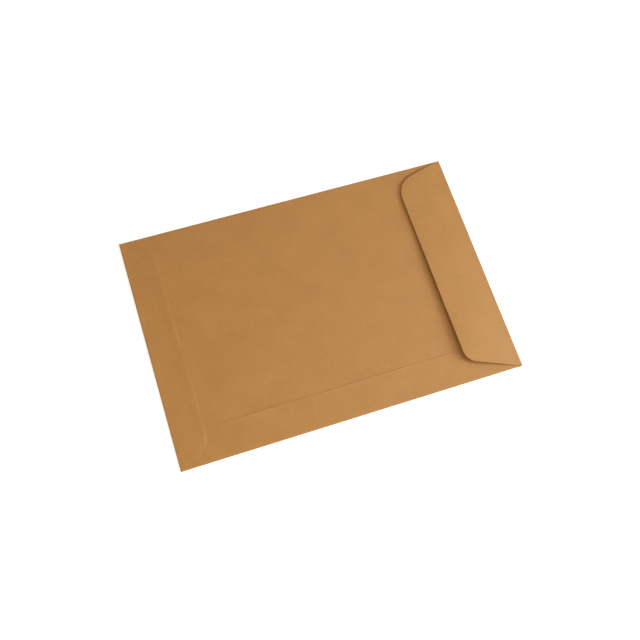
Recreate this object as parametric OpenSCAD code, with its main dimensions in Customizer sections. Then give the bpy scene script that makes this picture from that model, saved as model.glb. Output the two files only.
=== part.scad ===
// Open-end paper envelope, lying on its front with the seam side up.
// X runs from the closed end to the mouth, Y from the near long fold to the far one, Z up.
// The origin is the middle of the underside. Lengths are in millimetres.

/* [Paper] */
// Thickness of the paper
paper_t = 0.15; // [0.1:0.01:0.3]

/* [Pocket] */
// Length from the closed end to the mouth fold
envelope_l = 241; // [180:1:400]
// Width between the two long folds
envelope_w = 165; // [110:1:300]
// Free height inside the empty pocket
pocket_gap = 0.5; // [0.2:0.05:1.5]
// Distance from the closed end to the end of the back panel
back_end_inset = 1.5; // [1.5:0.5:5]
// Distance from the mouth fold to the free edge of the back panel
throat_inset = 3; // [2:0.5:15]

/* [Seam strip] */
// Width of the strip folded over from the near long edge
seam_strip_w = 23; // [14:0.5:40]
// Distance from the near long edge to the hidden edge of the back panel
back_edge_inset = 5; // [2:0.5:12]

/* [Bottom flap] */
// Depth of the bottom flap from the closed end
bottom_flap_d = 22.5; // [20:0.5:40]
// Angle at which its two side edges come in, in degrees
bottom_side_angle = 23; // [5:1:35]
// Radius of its two corners
bottom_corner_r = 17.5; // [3:0.5:19]
// Distance over which a glued sheet comes down from one layer to the next
step_run = 1.5; // [0.5:0.1:3]

/* [Closure flap] */
// Depth of the closure flap from the mouth fold
closure_flap_d = 37.4; // [25:0.1:60]
// Angle at which its near side edge comes in, in degrees
closure_near_angle = 21; // [5:0.5:30]
// Angle at which its far side edge comes in, in degrees
closure_far_angle = 15.5; // [5:0.5:30]
// Radius of its near corner
closure_near_corner_r = 10; // [3:0.5:18]
// Radius of its far corner
closure_far_corner_r = 16; // [3:0.5:18]
// Clearance between the seam strip and the closure flap at the fold
closure_clearance = 0.15; // [0.05:0.05:1]
// Height that the near end of its free edge stands up by
closure_near_lift = 4; // [0.5:0.1:8]
// Height that the far end of its free edge stands up by
closure_far_lift = 0.8; // [0.5:0.1:8]
// Share of the flap's depth over which it bends up from the fold
closure_bend_share = 0.15; // [0.05:0.05:0.5]
// Extra rise past that bend, which dies out towards the free edge, so that the flap arches
closure_arch = 3.6; // [0:0.1:6]

/* [Hidden] */
$fn = 48;
half_l = envelope_l / 2;
half_w = envelope_w / 2;
// Undersides of the layers above the front panel
back_z = paper_t + pocket_gap;
strip_z = back_z + paper_t;
cover_z = strip_z + paper_t;
closure_z = cover_z + closure_clearance;
// Inner radii of the four folds: each brings the sheet from the front panel to its layer
far_fold_r = (back_z - paper_t) / 2;
near_fold_r = (strip_z - paper_t) / 2;
bottom_fold_r = (cover_z - paper_t) / 2;
mouth_fold_r = (closure_z - paper_t) / 2;
// Places of the fold lines, where the flat sheet turns into the fold
far_fold_y = half_w - far_fold_r - paper_t;
near_fold_y = near_fold_r + paper_t - half_w;
bottom_fold_x = bottom_fold_r + paper_t - half_l;
mouth_fold_x = half_l - mouth_fold_r - paper_t;
// Ends of the back panel, which the long folds and the seam strip share
back_start_x = back_end_inset - half_l;
back_end_x = half_l - throat_inset;
seam_y = seam_strip_w - half_w;
// Depths of the flaps from their fold lines
bottom_depth = bottom_flap_d - half_l - bottom_fold_x;
closure_depth = closure_flap_d - half_l + mouth_fold_x;
// Rows of the closure flap along its depth, and stations across it
closure_rows = 20;
closure_stations = 8;

// Half ring of paper that bulges towards +X, run along Y from y0 to y1
module fold(inner_r, y0, y1) {
    outer_r = inner_r + paper_t;
    translate([0, y1, outer_r])
        rotate([90, 0, 0])
            linear_extrude(y1 - y0)
                difference() {
                    circle(outer_r);
                    circle(inner_r);
                    translate([-2 * outer_r, -2 * outer_r])
                        square([2 * outer_r, 4 * outer_r]);
                }
}

// Flat sheet between two corners given as [x, y], with its underside at z
module sheet(low, high, z) {
    translate([low[0], low[1], z])
        cube([high[0] - low[0], high[1] - low[1], paper_t]);
}

// Front panel: full width past the ends of the long folds, and between the fold lines elsewhere
module front_panel() {
    sheet([bottom_fold_x, -half_w], [back_start_x, half_w], 0);
    sheet([back_start_x, near_fold_y], [back_end_x, far_fold_y], 0);
    sheet([back_end_x, -half_w], [mouth_fold_x, half_w], 0);
}

module back_panel() {
    translate([0, far_fold_y, 0])
        rotate([0, 0, 90])
            fold(far_fold_r, -back_end_x, -back_start_x);
    sheet([back_start_x, back_edge_inset - half_w], [back_end_x, far_fold_y], back_z);
}

module seam_strip() {
    translate([0, near_fold_y, 0])
        rotate([0, 0, -90])
            fold(near_fold_r, back_start_x, back_end_x);
    sheet([back_start_x, near_fold_y], [back_end_x, seam_y], strip_z);
}

// How far a flap's side edge has come in from the long edge, at distance d from the fold line.
// The edge is slanted, then an arc of radius r that meets the free edge at the full depth.
function arc_start(depth, angle, r) = depth - r + r * sin(angle);
function arc_middle(depth, angle, r) = (r + sin(angle) * (depth - r)) / cos(angle);
function side_inset(d, depth, angle, r) =
    d <= arc_start(depth, angle, r)
        ? d * tan(angle)
        : arc_middle(depth, angle, r) - sqrt(max(0, r * r - pow(d - depth + r, 2)));

// Plan of the bottom flap from its fold line at x = 0, as a flat shape
module bottom_flap_plan() {
    side_x = arc_start(bottom_depth, bottom_side_angle, bottom_corner_r);
    side_y = half_w - side_inset(side_x, bottom_depth, bottom_side_angle, bottom_corner_r);
    corner_x = bottom_depth - bottom_corner_r;
    corner_y = half_w - arc_middle(bottom_depth, bottom_side_angle, bottom_corner_r);
    polygon([
        [0, -half_w], [side_x, -side_y], [corner_x, -corner_y], [bottom_depth, -corner_y],
        [bottom_depth, corner_y], [corner_x, corner_y], [side_x, side_y], [0, half_w]
    ]);
    for (side = [-1, 1])
        translate([corner_x, side * corner_y])
            circle(bottom_corner_r);
}

// Everything below the bottom flap's level behind the closed end, raised by rise
module end_step(rise) {
    translate([0, half_w, 0])
        rotate([90, 0, 0])
            linear_extrude(envelope_w)
                polygon([
                    [bottom_fold_x, 0], [bottom_fold_x, cover_z + rise], [back_start_x, cover_z + rise],
                    [back_start_x + step_run, strip_z + rise], [bottom_fold_x + bottom_depth, strip_z + rise],
                    [bottom_fold_x + bottom_depth, 0]
                ]);
}

// Everything below the bottom flap's level beside the seam strip, raised by rise
module seam_step(rise) {
    translate([bottom_fold_x, 0, 0])
        rotate([90, 0, 90])
            linear_extrude(bottom_depth)
                polygon([
                    [-half_w, 0], [-half_w, cover_z + rise], [seam_y, cover_z + rise],
                    [seam_y + step_run, strip_z + rise], [half_w, strip_z + rise], [half_w, 0]
                ]);
}

module bottom_flap() {
    translate([bottom_fold_x, 0, 0])
        rotate([0, 0, 180])
            fold(bottom_fold_r, -half_w, half_w);
    intersection() {
        translate([bottom_fold_x, 0, 0])
            linear_extrude(cover_z + 2 * paper_t)
                bottom_flap_plan();
        difference() {
            union() {
                end_step(paper_t);
                seam_step(paper_t);
            }
            end_step(0);
            seam_step(0);
        }
    }
}

// Underside of the closure flap at distance d from its fold line and at y
function closure_lift(y) =
    closure_far_lift + (closure_near_lift - closure_far_lift) * (half_w - y) / envelope_w;
function closure_bend(share) = share * share * (1 + closure_bend_share) / (share + closure_bend_share);
function closure_level(d, y) =
    let (share = d / closure_depth)
    closure_z + closure_bend(share) * (closure_lift(y) + closure_arch * (1 - share));

// Rows lie closer together towards the free edge, where the corner arcs turn
function closure_row_d(row) = closure_depth * (1 - pow(1 - row / closure_rows, 2));
function closure_near_y(d) =
    side_inset(d, closure_depth, closure_near_angle, closure_near_corner_r) - half_w;
function closure_far_y(d) =
    half_w - side_inset(d, closure_depth, closure_far_angle, closure_far_corner_r);
function closure_point(row, station, rise) =
    let (
        d = closure_row_d(row),
        share = station / closure_stations,
        y = closure_near_y(d) * (1 - share) + closure_far_y(d) * share
    )
    [mouth_fold_x - d, y, closure_level(d, y) + rise];

module closure_flap() {
    row_points = closure_stations + 1;
    layer_points = row_points * (closure_rows + 1);
    points = [
        for (rise = [0, paper_t])
            for (row = [0 : closure_rows])
                for (station = [0 : closure_stations])
                    closure_point(row, station, rise)
    ];
    // Going round the border once, as indices into the lower layer
    border = concat(
        [for (station = [0 : closure_stations - 1]) station],
        [for (row = [0 : closure_rows - 1]) row * row_points + closure_stations],
        [for (station = [closure_stations : -1 : 1]) closure_rows * row_points + station],
        [for (row = [closure_rows : -1 : 1]) row * row_points]
    );
    lower = [
        for (row = [0 : closure_rows - 1])
            for (station = [0 : closure_stations - 1])
                let (a = row * row_points + station, b = a + row_points)
                each [[a, b + 1, b], [a, a + 1, b + 1]]
    ];
    upper = [for (face = lower) [for (i = [2 : -1 : 0]) face[i] + layer_points]];
    edges = [
        for (i = [0 : len(border) - 1])
            let (a = border[i], b = border[(i + 1) % len(border)])
            each [[a, b + layer_points, b], [a, a + layer_points, b + layer_points]]
    ];
    translate([mouth_fold_x, 0, 0])
        fold(mouth_fold_r, -half_w, half_w);
    polyhedron(points, concat(lower, upper, edges));
}

module envelope() {
    color("#bd8a53")
        union() {
            front_panel();
            back_panel();
            seam_strip();
            bottom_flap();
            closure_flap();
        }
}

envelope();
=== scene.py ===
import math

import bpy
import numpy as np
from mathutils import Euler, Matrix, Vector


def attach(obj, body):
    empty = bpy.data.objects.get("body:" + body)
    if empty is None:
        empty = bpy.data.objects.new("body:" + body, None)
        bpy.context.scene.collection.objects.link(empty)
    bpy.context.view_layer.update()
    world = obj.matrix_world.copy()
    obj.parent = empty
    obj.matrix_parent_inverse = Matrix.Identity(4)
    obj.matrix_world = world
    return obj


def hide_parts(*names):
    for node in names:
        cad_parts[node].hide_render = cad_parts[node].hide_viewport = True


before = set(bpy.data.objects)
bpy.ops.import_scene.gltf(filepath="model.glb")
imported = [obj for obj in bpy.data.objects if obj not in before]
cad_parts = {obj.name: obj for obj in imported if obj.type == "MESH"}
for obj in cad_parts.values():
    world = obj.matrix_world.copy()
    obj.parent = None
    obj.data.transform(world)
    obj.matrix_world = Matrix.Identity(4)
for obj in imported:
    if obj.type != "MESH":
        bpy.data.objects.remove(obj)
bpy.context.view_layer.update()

# The envelope lies on its front with the seam side up. X runs from the closed end to the mouth,
# Y from the near long fold to the far one, Z up. Shapes are worked out in millimetres, as in the
# part's source, and turned into metres where the mesh is made.
MM = 0.001

# Sizes of the folded sheet, the same as in the part's source, with angles in degrees
PAPER = 0.15
LENGTH = 241.0
WIDTH = 165.0
POCKET_GAP = 0.5
BACK_END_INSET = 1.5
THROAT_INSET = 3.0
SEAM_STRIP_W = 23.0
BACK_EDGE_INSET = 5.0
BOTTOM_FLAP_D = 22.5
BOTTOM_SIDE_ANGLE = 23.0
BOTTOM_CORNER_R = 17.5
STEP_RUN = 1.5
CLOSURE_FLAP_D = 37.4
CLOSURE_NEAR_ANGLE = 21.0
CLOSURE_FAR_ANGLE = 15.5
CLOSURE_NEAR_CORNER_R = 10.0
CLOSURE_FAR_CORNER_R = 16.0
CLOSURE_CLEARANCE = 0.15
CLOSURE_NEAR_LIFT = 4.0
CLOSURE_FAR_LIFT = 0.8
CLOSURE_BEND_SHARE = 0.15
CLOSURE_ARCH = 3.6

HALF_PAPER = PAPER / 2
HALF_L = LENGTH / 2
HALF_W = WIDTH / 2
# Undersides of the layers above the front panel
BACK_Z = PAPER + POCKET_GAP
STRIP_Z = BACK_Z + PAPER
COVER_Z = STRIP_Z + PAPER
CLOSURE_Z = COVER_Z + CLOSURE_CLEARANCE
# Middle radii of the four folds
FAR_FOLD_R = BACK_Z / 2
NEAR_FOLD_R = STRIP_Z / 2
BOTTOM_FOLD_R = COVER_Z / 2
MOUTH_FOLD_R = CLOSURE_Z / 2
# Places of the fold lines, where the flat sheet turns into the fold
FAR_FOLD_Y = HALF_W - FAR_FOLD_R - HALF_PAPER
NEAR_FOLD_Y = NEAR_FOLD_R + HALF_PAPER - HALF_W
BOTTOM_FOLD_X = BOTTOM_FOLD_R + HALF_PAPER - HALF_L
MOUTH_FOLD_X = HALF_L - MOUTH_FOLD_R - HALF_PAPER
# Ends and edges of the back panel, and the free edge of the seam strip
BACK_START_X = BACK_END_INSET - HALF_L
BACK_END_X = HALF_L - THROAT_INSET
BACK_EDGE_Y = BACK_EDGE_INSET - HALF_W
SEAM_Y = SEAM_STRIP_W - HALF_W
# Depths of the flaps from their fold lines
BOTTOM_DEPTH = BOTTOM_FLAP_D - HALF_L - BOTTOM_FOLD_X
CLOSURE_DEPTH = CLOSURE_FLAP_D - HALF_L + MOUTH_FOLD_X

# Swells of the pocket's upper layers: height, share of X and of Y, wavelength, phase
SWELLS = (
    (0.080, 0.92, 0.38, 96.0, 0.6),
    (0.060, -0.35, 0.94, 67.0, 2.1),
    (0.035, 0.60, -0.80, 41.0, 4.0),
)
# Distances from the folds over which the swells set in
SWELL_START = (1.5, 17.0)

# How far the seam strip's free edge stands off the back panel: the mean, and waves along the edge
# with their height, and the length per radian and phase of their two factors
SEAM_LIFT = 0.132
SEAM_WAVES = (
    (0.060, 7.3, 0.4, 17.0, 1.9),
    (0.040, 3.1, 2.2, 23.0, 0.0),
)
# Distances from the bottom flap's edge over which the lift sets in, and from the mouth over which it ends
SEAM_LIFT_START = (0.5, 14.0)
SEAM_LIFT_END = (18.0, 9.0)
# Width of the strip's lifted band, and the power of its rise towards the edge
SEAM_BAND = 3.0
SEAM_RISE_POWER = 1.5

# The layers of glued paper keep this far apart, so that none shows through another
LAP = 0.012

# Ridge inside the bottom flap's cut edge: its height, and where it rises and falls, measured from
# that edge and negative inside it. The last pair is measured from the fold line.
RIDGE_HEIGHT = 0.155
RIDGE_RISE = (-8.0, -2.4)
RIDGE_FALL = (-2.1, 0.3)
RIDGE_START = (5.0, 12.0)

# Ripple across the closure flap: its height, the place of a crest, and the length per radian
CLOSURE_RIPPLE = 0.16
CLOSURE_CREST_Y = 5.0
CLOSURE_RIPPLE_LENGTH = 8.9

# Fineness of the mesh: spacing of the grid, of the seam strip's lifted band and of the bottom flap's
# first rows, and the number of rows in the finer parts
GRID = 2.5
SEAM_GRID = 0.5
BOTTOM_GRID = 2.0
STEP_ROWS = 3
FOLD_ROWS = 14
CLOSURE_ROWS = 32
# The bottom flap's rows lie closer together over this depth, towards its free edge
BOTTOM_FINE_D = 13.0
BOTTOM_FINE_ROWS = 32
BOTTOM_FINE_POWER = 1.6
# Widths of the outer bands that narrow as a flap's side edges come in
BOTTOM_BAND = 27.0
CLOSURE_BAND = 40.0
# Half the distance over which a layer's slope is taken
SLOPE_STEP = 0.02
# Faces that meet at a larger angle than this, in degrees, have a sharp edge between them
SHARP_ANGLE = 40

# Where the pattern of the paper lies on the inner side, away from the outer side's, in metres
INNER_PATTERN_SHIFT = (0.9, 0.0, 0.4)

# Map of the blank, in shares of the square: heights of its two sides, margins and the cut edge's ribbons
OUTER_TALL = 0.74
INNER_TALL = 0.40
MARGIN = 0.006
RIBBON_TALL = 0.006

# Camera of the photo's view: place in metres, turns in degrees
CAMERA_PLACE = (-0.09331398, -0.16437006, 0.52304195)
CAMERA_TURNS = (18.38135884, -4.14274205, -18.11557107)
CAMERA_SENSOR = 36.0
CAMERA_LENS = 45.1023
CAMERA_CLIP = (0.01, 50.0)


def link_object(name, data):
    """A new object that shows the data, linked to the scene."""
    new_object = bpy.data.objects.new(name, data)
    bpy.context.scene.collection.objects.link(new_object)
    return new_object


def add_camera():
    data = bpy.data.cameras.new("camera")
    data.sensor_width = CAMERA_SENSOR
    data.lens = CAMERA_LENS
    data.clip_start, data.clip_end = CAMERA_CLIP
    camera = link_object("camera", data)
    camera.location = CAMERA_PLACE
    camera.rotation_euler = Euler([math.radians(a) for a in CAMERA_TURNS])
    bpy.context.scene.camera = camera


# Levels of the sheet's middle surface, layer by layer


def smooth(value, start, end):
    """0 before start, 1 after end, with a soft turn between."""
    t = np.clip((np.asarray(value, float) - start) / (end - start), 0.0, 1.0)
    return t * t * (3.0 - 2.0 * t)


def swell(x, y):
    """The slight unevenness of an empty pocket's upper layers, which dies out at the folds."""
    height = 0.0
    for top, along_x, along_y, length, phase in SWELLS:
        height = height + top * np.sin(math.tau * (along_x * x + along_y * y) / length + phase)
    calm = 1.0
    for distance in (x + HALF_L, HALF_L - x, y + HALF_W, HALF_W - y):
        calm = calm * smooth(distance, *SWELL_START)
    return height * calm


def seam_lift(x, y):
    """How far the seam strip stands off the back panel: only at its free edge, and more in some places."""
    amount = SEAM_LIFT
    for height, length_a, phase_a, length_b, phase_b in SEAM_WAVES:
        amount = amount + height * np.sin(x / length_a + phase_a) * np.sin(x / length_b + phase_b)
    start, full = (BOTTOM_FLAP_D - HALF_L + distance for distance in SEAM_LIFT_START)
    fading, gone = (HALF_L - distance for distance in SEAM_LIFT_END)
    free = smooth(x, start, full) * (1.0 - smooth(x, fading, gone))
    return amount * free * smooth(y, SEAM_Y - SEAM_BAND, SEAM_Y) ** SEAM_RISE_POWER


def back_level(x, y):
    return BACK_Z + HALF_PAPER + swell(x, y)


def strip_level(x, y):
    return STRIP_Z + HALF_PAPER + LAP + swell(x, y) + seam_lift(x, y)


def inside_bottom_edge(x, y):
    """How far a point of the bottom flap lies inside its cut edge."""
    a = math.radians(BOTTOM_SIDE_ANGLE)
    d, side = x - BOTTOM_FOLD_X, abs(y)
    middle_d = BOTTOM_DEPTH - BOTTOM_CORNER_R
    middle_y = HALF_W - (BOTTOM_CORNER_R + math.sin(a) * middle_d) / math.cos(a)
    p, q = d - middle_d, side - middle_y
    if q > 0 and p * math.cos(a) > q * math.sin(a):
        return BOTTOM_CORNER_R - math.hypot(p, q)
    return min(BOTTOM_DEPTH - d, (HALF_W - side) * math.cos(a) - d * math.sin(a))


def bottom_level(x, y):
    """The glued bottom flap: over the seam strip and the closed end it lies one layer higher."""
    high = np.maximum(
        1.0 - smooth(x, BACK_START_X, BACK_START_X + STEP_RUN),
        1.0 - smooth(y, SEAM_Y, SEAM_Y + STEP_RUN),
    )
    out = -inside_bottom_edge(x, y)
    ridge = RIDGE_HEIGHT * smooth(out, *RIDGE_RISE) * (1.0 - smooth(out, *RIDGE_FALL))
    ridge = ridge * smooth(x - BOTTOM_FOLD_X, *RIDGE_START)
    return STRIP_Z + PAPER * high + HALF_PAPER + 2 * LAP + swell(x, y) + ridge


def closure_level(x, y):
    """The free closure flap, which bends up from its fold, arches, and stands up more at its near end."""
    lift = CLOSURE_FAR_LIFT + (CLOSURE_NEAR_LIFT - CLOSURE_FAR_LIFT) * (HALF_W - y) / WIDTH
    lift = lift + CLOSURE_RIPPLE * np.cos((y - CLOSURE_CREST_Y) / CLOSURE_RIPPLE_LENGTH)
    share = np.maximum(MOUTH_FOLD_X - x, 0.0) / CLOSURE_DEPTH
    bend = share * share * (1 + CLOSURE_BEND_SHARE) / (share + CLOSURE_BEND_SHARE)
    return CLOSURE_Z + bend * (lift + CLOSURE_ARCH * (1 - share)) + HALF_PAPER


# Places of the sheet's points along and across its parts


def spaced(start, end, step, *places):
    """Places from start to end about step apart, which include the given ones."""
    marks = [start, *sorted(places, reverse=end < start), end]
    out = [start]
    for a, b in zip(marks, marks[1:]):
        n = max(1, round(abs(b - a) / step))
        out += [a + (b - a) * k / n for k in range(1, n + 1)]
    return np.array(out)


def side_inset(d, depth, angle, r):
    """How far a flap's side edge has come in at distance d from the fold: a slant, then a round corner."""
    a = math.radians(angle)
    slant_end = depth - r + r * math.sin(a)
    middle = (r + math.sin(a) * (depth - r)) / math.cos(a)
    if d <= slant_end:
        return d * math.tan(a)
    return middle - math.sqrt(max(0.0, r * r - (d - depth + r) ** 2))


def squeezed(across, d, depth, near, far, band):
    """The places across a flap at distance d from its fold line.

    near and far are the angle and the corner radius of its side edges. Only the outer bands narrow."""
    y = np.array(across)
    inner = HALF_W - band
    for sign, (angle, r) in ((-1, near), (1, far)):
        edge = HALF_W - side_inset(d, depth, angle, r)
        outside = sign * across > inner
        y[outside] = sign * (inner + (sign * across[outside] - inner) * (edge - inner) / band)
    return y


# The front panel's grid, whose lines run on over the folds to the other parts of the sheet
step_places = [SEAM_Y + STEP_RUN * k / STEP_ROWS for k in range(STEP_ROWS + 1)]
front_x = np.concatenate([[BOTTOM_FOLD_X], spaced(BACK_START_X, BACK_END_X, GRID), [MOUTH_FOLD_X]])
front_y = np.concatenate([[-HALF_W], spaced(NEAR_FOLD_Y, FAR_FOLD_Y, GRID, *step_places), [HALF_W]])
last_i = len(front_x) - 1
last_j = len(front_y) - 1
# The part of it that the long folds run along
long_i = range(1, last_i)
long_x = front_x[1:last_i]


class Sheet:
    """A thin sheet as its middle surface, made of points and quads.

    Each point has the direction of its outer side, its place on the blank, which is the flat sheet
    before it is folded, and the amount by which it is creased."""

    def __init__(self):
        self.points, self.outward, self.blank, self.crease = [], [], [], []
        self.quads = []

    def add(self, point, outward, blank, crease=0.0):
        self.points.append(point)
        self.outward.append(np.array(outward) / np.linalg.norm(outward))
        self.blank.append(blank)
        self.crease.append(crease)
        return len(self.points) - 1

    def layer_row(self, level, places, blanks):
        """A row of points on a layer that faces up."""
        row = []
        for (x, y), blank in zip(places, blanks):
            slope_x = (level(x + SLOPE_STEP, y) - level(x - SLOPE_STEP, y)) / (2 * SLOPE_STEP)
            slope_y = (level(x, y + SLOPE_STEP) - level(x, y - SLOPE_STEP)) / (2 * SLOPE_STEP)
            outward = (-float(slope_x), -float(slope_y), 1.0)
            row.append(self.add((x, y, float(level(x, y))), outward, blank))
        return row

    def fold_rows(self, first, side, radius):
        """Rows of points round a half turn from the row `first`, which bulges towards side."""
        rows = [first]
        for k in range(1, FOLD_ROWS + 1):
            a = math.pi * k / FOLD_ROWS
            out = math.sin(a)
            rise = 1 - math.cos(a)
            row = []
            for vertex in first:
                x, y, z = self.points[vertex]
                u, v = self.blank[vertex]
                point = (x + side[0] * radius * out, y + side[1] * radius * out, z + radius * rise)
                outward = (side[0] * out, side[1] * out, -math.cos(a))
                blank = (u + side[0] * radius * a, v + side[1] * radius * a)
                row.append(self.add(point, outward, blank, out))
            rows.append(row)
        return rows

    def join(self, rows, turned):
        """Quads between the rows, the other way round where turned, so that all face the same side."""
        for low, high in zip(rows, rows[1:]):
            for k in range(len(low) - 1):
                quad = (low[k], low[k + 1], high[k + 1], high[k])
                self.quads.append(quad[::-1] if turned else quad)

    def front_panel(self):
        """The panel on the floor. Its outermost lines are there only past the ends of the long folds."""
        at = {}
        for i, x in enumerate(front_x):
            for j, y in enumerate(front_y):
                if j in (0, last_j) and 1 < i < last_i - 1:
                    continue
                at[i, j] = self.add((x, y, HALF_PAPER), (0, 0, -1), (x, y))
        for i in range(last_i):
            for j in range(last_j):
                corners = [(i, j), (i + 1, j), (i + 1, j + 1), (i, j + 1)]
                if all(c in at for c in corners) and (0 < j < last_j - 1 or i in (0, last_i - 1)):
                    self.quads.append(tuple(at[c] for c in corners))
        return at

    def back_panel(self, at):
        """The far long fold and the panel above the pocket."""
        rows = self.fold_rows([at[i, last_j - 1] for i in long_i], (0, 1), FAR_FOLD_R)
        for y in spaced(FAR_FOLD_Y, BACK_EDGE_Y, GRID, SEAM_Y)[1:]:
            v = FAR_FOLD_Y + math.pi * FAR_FOLD_R + FAR_FOLD_Y - y
            rows.append(self.layer_row(back_level, [(x, y) for x in long_x], [(x, v) for x in long_x]))
        self.join(rows, False)

    def seam_strip(self, at):
        """The near long fold and the strip glued on the back panel."""
        rows = self.fold_rows([at[i, 1] for i in long_i], (0, -1), NEAR_FOLD_R)
        band_y = SEAM_Y - SEAM_BAND
        for y in [*spaced(NEAR_FOLD_Y, band_y, GRID)[1:], *spaced(band_y, SEAM_Y, SEAM_GRID)[1:]]:
            v = NEAR_FOLD_Y - math.pi * NEAR_FOLD_R - (y - NEAR_FOLD_Y)
            rows.append(self.layer_row(strip_level, [(x, y) for x in long_x], [(x, v) for x in long_x]))
        self.join(rows, True)

    def bottom_flap(self, at):
        """The closed end's fold and the flap glued over the back panel and the seam strip."""
        rows = self.fold_rows([at[0, j] for j in range(last_j + 1)], (-1, 0), BOTTOM_FOLD_R)
        step_d = BACK_START_X - BOTTOM_FOLD_X
        even_d = spaced(0.0, BOTTOM_DEPTH - BOTTOM_FINE_D, BOTTOM_GRID, step_d, step_d + STEP_RUN)
        left = 1 - np.arange(1, BOTTOM_FINE_ROWS + 1) / BOTTOM_FINE_ROWS
        fine_d = BOTTOM_DEPTH - BOTTOM_FINE_D * left**BOTTOM_FINE_POWER
        side = (BOTTOM_SIDE_ANGLE, BOTTOM_CORNER_R)
        for d in [*even_d[1:], *fine_d]:
            x = BOTTOM_FOLD_X + d
            u = BOTTOM_FOLD_X - math.pi * BOTTOM_FOLD_R - d
            across = squeezed(front_y, d, BOTTOM_DEPTH, side, side, BOTTOM_BAND)
            rows.append(self.layer_row(bottom_level, [(x, y) for y in across], [(u, y) for y in across]))
        self.join(rows, False)

    def closure_flap(self, at):
        """The mouth fold and the free flap, with rows closer together towards its free edge."""
        rows = self.fold_rows([at[last_i, j] for j in range(last_j + 1)], (1, 0), MOUTH_FOLD_R)
        near = (CLOSURE_NEAR_ANGLE, CLOSURE_NEAR_CORNER_R)
        far = (CLOSURE_FAR_ANGLE, CLOSURE_FAR_CORNER_R)
        for k in range(1, CLOSURE_ROWS + 1):
            d = CLOSURE_DEPTH * (1 - (1 - k / CLOSURE_ROWS) ** 2)
            x = MOUTH_FOLD_X - d
            u = MOUTH_FOLD_X + math.pi * MOUTH_FOLD_R + d
            across = squeezed(front_y, d, CLOSURE_DEPTH, near, far, CLOSURE_BAND)
            rows.append(self.layer_row(closure_level, [(x, y) for y in across], [(u, y) for y in across]))
        self.join(rows, True)


def folded_sheet():
    sheet = Sheet()
    at = sheet.front_panel()
    sheet.back_panel(at)
    sheet.seam_strip(at)
    sheet.bottom_flap(at)
    sheet.closure_flap(at)
    return sheet


# Mesh of the sheet


def border_sides(quads):
    """The sides of the quads that lie on the sheet's border, going round it once."""
    sides = {}
    for quad in quads:
        for a, b in zip(quad, quad[1:] + quad[:1]):
            sides[a, b] = True
    following = {a: b for a, b in sides if (b, a) not in sides}
    start = next(iter(following))
    loop = [start]
    while following[loop[-1]] != start:
        loop.append(following[loop[-1]])
    assert len(loop) == len(following), "the sheet has one border"
    return list(zip(loop, loop[1:] + loop[:1]))


def store(mesh, name, kind, domain, values):
    """Keep values on the mesh, where the material reads them."""
    field = "vector" if kind == "FLOAT_VECTOR" else "value"
    attribute = mesh.attributes.new(name, kind, domain)
    attribute.data.foreach_set(field, np.asarray(values, np.float32).ravel())


def blank_map(blank, quads, rim):
    """Places on the map for the corners of all faces, in their order.

    The outer side is large, the inner side smaller, and the cut edge lies in ribbons above them."""
    low, high = blank.min(0), blank.max(0)
    outer_scale = OUTER_TALL / (high[1] - low[1])
    inner_scale = INNER_TALL / (high[1] - low[1])
    inner_left = MARGIN * 2 + (high[0] - low[0]) * outer_scale
    uv = []
    for quad in quads:
        for u, v in blank[list(quad)]:
            uv.append((inner_left + (u - low[0]) * inner_scale, MARGIN + (v - low[1]) * inner_scale))
    for quad in quads:
        for u, v in blank[list(quad[::-1])]:
            uv.append((MARGIN + (high[0] - u) * outer_scale, MARGIN + (v - low[1]) * outer_scale))
    ribbon_x, ribbon_y = MARGIN, OUTER_TALL + 3 * MARGIN
    for a, b in rim:
        wide = float(np.linalg.norm(blank[b] - blank[a])) * outer_scale
        if ribbon_x + wide > 1 - MARGIN:
            ribbon_x, ribbon_y = MARGIN, ribbon_y + 2 * RIBBON_TALL
        x0, x1, y0, y1 = ribbon_x, ribbon_x + wide, ribbon_y, ribbon_y + RIBBON_TALL
        uv += [(x1, y1), (x0, y1), (x0, y0), (x1, y0)]
        ribbon_x = x1
    return uv


def sheet_mesh(sheet):
    """Both sides of the sheet and its cut edge, as one closed mesh."""
    points, outward, blank = np.array(sheet.points), np.array(sheet.outward), np.array(sheet.blank)
    count = len(points)
    rim = border_sides(sheet.quads)
    # The inner side comes first, then the outer side with the same order of points
    vertices = np.concatenate([points - outward * HALF_PAPER, points + outward * HALF_PAPER]) * MM
    # The quads run anticlockwise as seen on the blank, so that they face the inner side
    inner_faces = list(sheet.quads)
    outer_faces = [tuple(v + count for v in quad[::-1]) for quad in sheet.quads]
    rim_faces = [(b, a, a + count, b + count) for a, b in rim]
    mesh = bpy.data.meshes.new("envelope_sheet")
    mesh.from_pydata(vertices.tolist(), [], inner_faces + outer_faces + rim_faces)
    mesh.update()

    # The pattern of the paper lies on the flat blank, and the inner side has its own part of it
    flat = np.column_stack([blank, np.zeros(count)]) * MM
    pattern = np.concatenate([flat + np.array(INNER_PATTERN_SHIFT), flat])
    cut = np.concatenate([np.zeros(2 * len(sheet.quads)), np.ones(len(rim))])
    store(mesh, "blank", "FLOAT_VECTOR", "POINT", pattern)
    store(mesh, "crease", "FLOAT", "POINT", np.tile(np.array(sheet.crease), 2))
    store(mesh, "cut_edge", "FLOAT", "FACE", cut)

    layer = mesh.uv_layers.new(name="OFBake")
    layer.data.foreach_set("uv", np.array(blank_map(blank, sheet.quads, rim), np.float32).ravel())
    mesh.shade_smooth()
    mesh.set_sharp_from_angle(angle=math.radians(SHARP_ANGLE))
    return mesh


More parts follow.
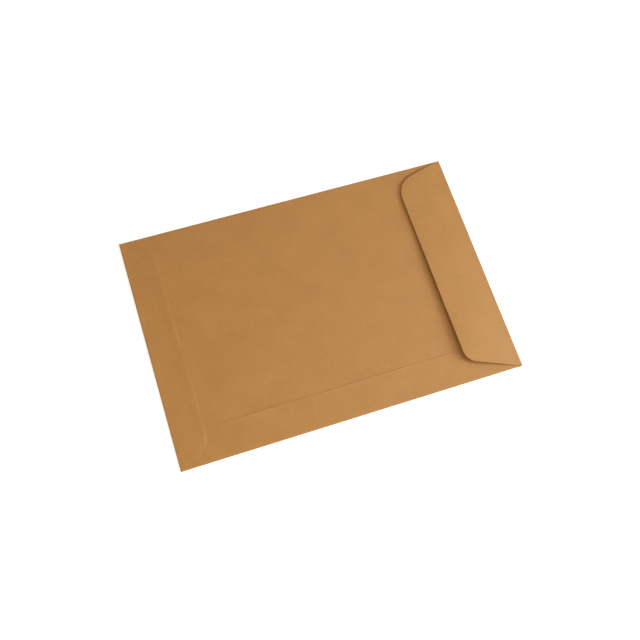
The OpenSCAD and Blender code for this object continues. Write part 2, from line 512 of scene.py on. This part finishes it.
# Colours of the kraft paper, as linear red, green, blue and alpha
PULP_DARK = (0.426, 0.199, 0.045, 1.0)
PULP_PALE = (0.468, 0.223, 0.054, 1.0)
PATCH_COLOUR = (0.482, 0.237, 0.065, 1.0)
PALE_FIBRE = (0.549, 0.287, 0.098, 1.0)
DARK_FIBRE = (0.302, 0.124, 0.026, 1.0)
BARK_COLOUR = (0.215, 0.089, 0.030, 1.0)
RUBBED_COLOUR = (0.528, 0.276, 0.099, 1.0)
CUT_COLOUR = (0.566, 0.328, 0.146, 1.0)
# Fineness of its cloudy pulp, at two sizes, per metre
CLOUD_SCALE = 55.0
PATCH_SCALE = 260.0
# Fibres: fineness of the noise that bends them and how far it moves them in metres, their own
# fineness along and across, and the direction in degrees and the shift of each set
FIBRE_BEND_SCALE = 120.0
FIBRE_BEND = 0.004
FIBRE_SCALE = (520.0, 3000.0, 520.0)
FIBRE_SETS = ((12.0, 0.0), (-34.0, 0.3), (63.0, 0.6), (-78.0, 0.9))
FIBRE_SHIFT_Y = 0.7
# Specks of bark: cells per metre, the share of cells that hold none, and the radii in cells
SPECK_SCALE = 330.0
EMPTY_SHARE = 0.93
SPECK_RADII = (0.03, 0.09)
# Ranges of the noises that the colours follow, and the most that each colour is mixed in
CLOUD_RANGE = (0.30, 0.70)
PATCH_RANGE = (0.35, 0.65)
PALE_RANGE = (0.62, 0.80)
DARK_RANGE = (0.38, 0.22)
PATCH_SHARE = 0.30
PALE_SHARE = 0.30
DARK_SHARE = 0.28
BARK_SHARE = 0.45
RUBBED_SHARES = (0.05, 0.35)
CUT_SHARE = 0.55
# Surface: roughness of the sheet and what a crease adds, gloss, and the relief in metres
PAPER_ROUGHNESS = (0.54, 0.62)
CREASE_ROUGHNESS = 0.08
PAPER_SPECULAR = 0.5
FIBRE_RELIEF = 0.7
PATCH_RELIEF = 0.6
BUMP_STRENGTH = 0.35
BUMP_DISTANCE = 0.00006

# Floor: half its side and its depth below the part in metres, the grain of its white, and its glow,
# which grows with the distance from the part in metres
FLOOR_HALF = 4.0
FLOOR_DEPTH = 0.00002
GRAIN_SCALE = 9.0
GRAIN_RANGE = (0.3, 0.7)
FLOOR_WHITES = (0.795, 0.805)
GLOW_DISTANCES = (0.25, 0.70)
GLOW_STRENGTHS = (0.46, 1.0)

# World: heights on the unit sphere between which the white backdrop turns into the ceiling, the
# ceiling's brightness, and the colour of the light that fills the shadows
CEILING_HEIGHTS = (0.35, 0.57)
CEILING = 0.10
WARM_FILL = (0.460, 0.345, 0.260, 1.0)

# Lamps: name, azimuth and elevation in degrees, distance and size in metres, power and colour.
# Azimuth 0 is towards +X and 90 towards +Y.
LAMPS = (
    ("key", -27.0, 27.5, 0.98, 0.47, 9.66, (0.679, 0.849, 1.0)),
    ("top", 11.5, 65.5, 0.90, 0.37, 1.42, (0.947, 0.979, 1.0)),
    ("side", -104.0, 35.0, 0.60, 0.32, 1.03, (1.0, 0.968, 0.895)),
)


class Nodes:
    """Short ways to add and link shader nodes, in a new material or in the given tree."""

    def __init__(self, name=None, tree=None):
        if tree is None:
            self.material = bpy.data.materials.new(name)
            self.material.use_nodes = True
            tree = self.material.node_tree
        self.tree = tree
        self.tree.nodes.clear()

    def add(self, kind, inputs=(), **settings):
        node = self.tree.nodes.new(kind)
        for key, value in settings.items():
            setattr(node, key, value)
        for key, value in dict(inputs).items():
            if isinstance(value, bpy.types.NodeSocket):
                self.tree.links.new(value, node.inputs[key])
            else:
                node.inputs[key].default_value = value
        return node

    def attribute(self, name, output):
        return self.add("ShaderNodeAttribute", attribute_name=name).outputs[output]

    def math(self, operation, a, b):
        return self.add("ShaderNodeMath", {0: a, 1: b}, operation=operation).outputs[0]

    def most(self, operation, first, *others):
        """The largest or smallest of several values, by MAXIMUM or MINIMUM."""
        for other in others:
            first = self.math(operation, first, other)
        return first

    def vector(self, operation, inputs):
        return self.add("ShaderNodeVectorMath", inputs, operation=operation).outputs[0]

    def ramp(self, value, source, target):
        """The value with the source range brought to the target range, and held at its ends."""
        inputs = {
            "Value": value,
            "From Min": source[0],
            "From Max": source[1],
            "To Min": target[0],
            "To Max": target[1],
        }
        return self.add("ShaderNodeMapRange", inputs).outputs["Result"]

    def noise(self, place, scale, detail, roughness=0.5):
        inputs = {"Vector": place, "Scale": scale, "Detail": detail, "Roughness": roughness}
        return self.add("ShaderNodeTexNoise", inputs)

    def mix(self, factor, a, b):
        return self.add("ShaderNodeMix", {0: factor, 6: a, 7: b}, data_type="RGBA").outputs[2]

    def grey(self, value):
        return self.add("ShaderNodeCombineColor", {0: value, 1: value, 2: value}).outputs[0]

    def background_rays(self):
        """1 where the ray comes from the camera or is a reflection or refraction, else 0."""
        path = self.add("ShaderNodeLightPath")
        kinds = ("Is Camera Ray", "Is Glossy Ray", "Is Transmission Ray")
        return self.most("MAXIMUM", *(path.outputs[kind] for kind in kinds))


def bent_places(n, place):
    """The places on the blank, each moved a little by a slow noise, so that no fibre is straight."""
    bend = n.noise(place, FIBRE_BEND_SCALE, detail=1.0).outputs["Color"]
    centred = n.vector("SUBTRACT", {0: bend, 1: (0.5, 0.5, 0.5)})
    small = n.vector("SCALE", {0: centred, "Scale": FIBRE_BEND})
    return n.vector("ADD", {0: place, 1: small})


def fibres(n, bent):
    """Pale and dark fibres: the highs and the lows of noises stretched into streaks."""
    streaks = []
    for turn, shift in FIBRE_SETS:
        inputs = {
            "Vector": bent,
            "Location": (shift, FIBRE_SHIFT_Y - shift, shift),
            "Rotation": (0.0, 0.0, math.radians(turn)),
            "Scale": FIBRE_SCALE,
        }
        turned = n.add("ShaderNodeMapping", inputs).outputs[0]
        streaks.append(n.noise(turned, scale=1.0, detail=1.0, roughness=0.4).outputs["Fac"])
    return n.most("MAXIMUM", *streaks), n.most("MINIMUM", *streaks)


def bark_specks(n, bent):
    """1 in a few small round spots of different sizes, else 0."""
    speck = n.add("ShaderNodeTexVoronoi", {"Vector": bent, "Scale": SPECK_SCALE, "Randomness": 1.0})
    chosen = n.add("ShaderNodeSeparateColor", {"Color": speck.outputs["Color"]})
    few = n.math("GREATER_THAN", chosen.outputs[0], EMPTY_SHARE)
    radius = n.ramp(chosen.outputs[1], (0.0, 1.0), SPECK_RADII)
    return n.math("MULTIPLY", few, n.math("LESS_THAN", speck.outputs["Distance"], radius))


def kraft_paper():
    n = Nodes("kraft_paper")
    place = n.attribute("blank", "Vector")
    crease = n.attribute("crease", "Fac")
    cut_edge = n.attribute("cut_edge", "Fac")

    # Cloudy formation of the pulp, at two sizes, with fibres and bark in it
    cloud = n.noise(place, CLOUD_SCALE, detail=3.0, roughness=0.55).outputs["Fac"]
    patch = n.noise(place, PATCH_SCALE, detail=2.0).outputs["Fac"]
    bent = bent_places(n, place)
    pale, dark = fibres(n, bent)
    specks = bark_specks(n, bent)

    colour = n.mix(n.ramp(cloud, CLOUD_RANGE, (0.0, 1.0)), PULP_DARK, PULP_PALE)
    colour = n.mix(n.ramp(patch, PATCH_RANGE, (0.0, PATCH_SHARE)), colour, PATCH_COLOUR)
    colour = n.mix(n.ramp(pale, PALE_RANGE, (0.0, PALE_SHARE)), colour, PALE_FIBRE)
    colour = n.mix(n.ramp(dark, DARK_RANGE, (0.0, DARK_SHARE)), colour, DARK_FIBRE)
    colour = n.mix(n.math("MULTIPLY", specks, BARK_SHARE), colour, BARK_COLOUR)
    # Folds are rubbed a little paler, and the cut edge shows the lighter pulp inside the sheet
    rubbed = n.math("MULTIPLY", crease, n.ramp(patch, PATCH_RANGE, RUBBED_SHARES))
    colour = n.mix(rubbed, colour, RUBBED_COLOUR)
    colour = n.mix(n.math("MULTIPLY", cut_edge, CUT_SHARE), colour, CUT_COLOUR)

    rough = n.ramp(cloud, CLOUD_RANGE, PAPER_ROUGHNESS)
    rough = n.math("ADD", rough, n.math("MULTIPLY", crease, CREASE_ROUGHNESS))

    fibre_height = n.math("MULTIPLY", n.math("SUBTRACT", pale, dark), FIBRE_RELIEF)
    height = n.math("ADD", fibre_height, n.math("MULTIPLY", patch, PATCH_RELIEF))
    inputs = {"Strength": BUMP_STRENGTH, "Distance": BUMP_DISTANCE, "Height": height}
    bump = n.add("ShaderNodeBump", inputs).outputs[0]

    inputs = {"Base Color": colour, "Roughness": rough, "Normal": bump, "Specular IOR Level": PAPER_SPECULAR}
    shader = n.add("ShaderNodeBsdfPrincipled", inputs)
    n.add("ShaderNodeOutputMaterial", {"Surface": shader.outputs[0]})
    return n.material


def floor_paper():
    """A white floor: it adds light of its own towards the camera, so it shows white but for the shadow."""
    n = Nodes("floor_white")
    place = n.add("ShaderNodeNewGeometry").outputs["Position"]
    grain = n.noise(place, GRAIN_SCALE, detail=2.0).outputs["Fac"]
    white = n.grey(n.ramp(grain, GRAIN_RANGE, FLOOR_WHITES))
    matt = n.add("ShaderNodeBsdfDiffuse", {"Color": white})
    away = n.add("ShaderNodeVectorMath", {0: place}, operation="LENGTH").outputs["Value"]
    strength = n.math("MULTIPLY", n.background_rays(), n.ramp(away, GLOW_DISTANCES, GLOW_STRENGTHS))
    glow = n.add("ShaderNodeEmission", {"Color": (1.0, 1.0, 1.0, 1.0), "Strength": strength})
    both = n.add("ShaderNodeAddShader", {0: matt.outputs[0], 1: glow.outputs[0]})
    n.add("ShaderNodeOutputMaterial", {"Surface": both.outputs[0]})
    return n.material


def add_floor():
    signs = ((-1, -1), (1, -1), (1, 1), (-1, 1))
    corners = [(x * FLOOR_HALF, y * FLOOR_HALF, 0) for x, y in signs]
    mesh = bpy.data.meshes.new("floor")
    mesh.from_pydata(corners, [], [(0, 1, 2, 3)])
    mesh.materials.append(floor_paper())
    floor = link_object("floor", mesh)
    floor.location.z = -FLOOR_DEPTH
    return floor


def add_world():
    """Towards the camera and in reflections the backdrop is white, up to the dimmer ceiling."""
    world = bpy.data.worlds.new("world")
    world.use_nodes = True
    bpy.context.scene.world = world
    n = Nodes(tree=world.node_tree)
    ray = n.add("ShaderNodeTexCoord").outputs["Generated"]
    up = n.add("ShaderNodeSeparateXYZ", {0: ray}).outputs["Z"]
    white = n.grey(n.ramp(up, CEILING_HEIGHTS, (1.0, CEILING)))
    colour = n.mix(n.background_rays(), WARM_FILL, white)
    background = n.add("ShaderNodeBackground", {"Color": colour, "Strength": 1.0})
    n.add("ShaderNodeOutputWorld", {"Surface": background.outputs[0]})


def add_lamp(name, azimuth, elevation, distance, size, power, colour):
    """A soft square lamp aimed at the origin."""
    data = bpy.data.lights.new(name, "AREA")
    data.shape = "SQUARE"
    data.size = size
    data.energy = power
    data.color = colour
    a, e = math.radians(azimuth), math.radians(elevation)
    way = Vector((math.cos(a) * math.cos(e), math.sin(a) * math.cos(e), math.sin(e)))
    lamp = link_object(name, data)
    lamp.location = way * distance
    lamp.rotation_mode = "QUATERNION"
    lamp.rotation_quaternion = way.to_track_quat("Z", "Y")


add_camera()

envelope = link_object("envelope_sheet", sheet_mesh(folded_sheet()))
envelope.data.materials.append(kraft_paper())
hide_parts("envelope")
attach(envelope, "root")

floor = add_floor()
add_world()
for settings in LAMPS:
    add_lamp(*settings)

bpy.context.scene.view_settings.view_transform = "Standard"
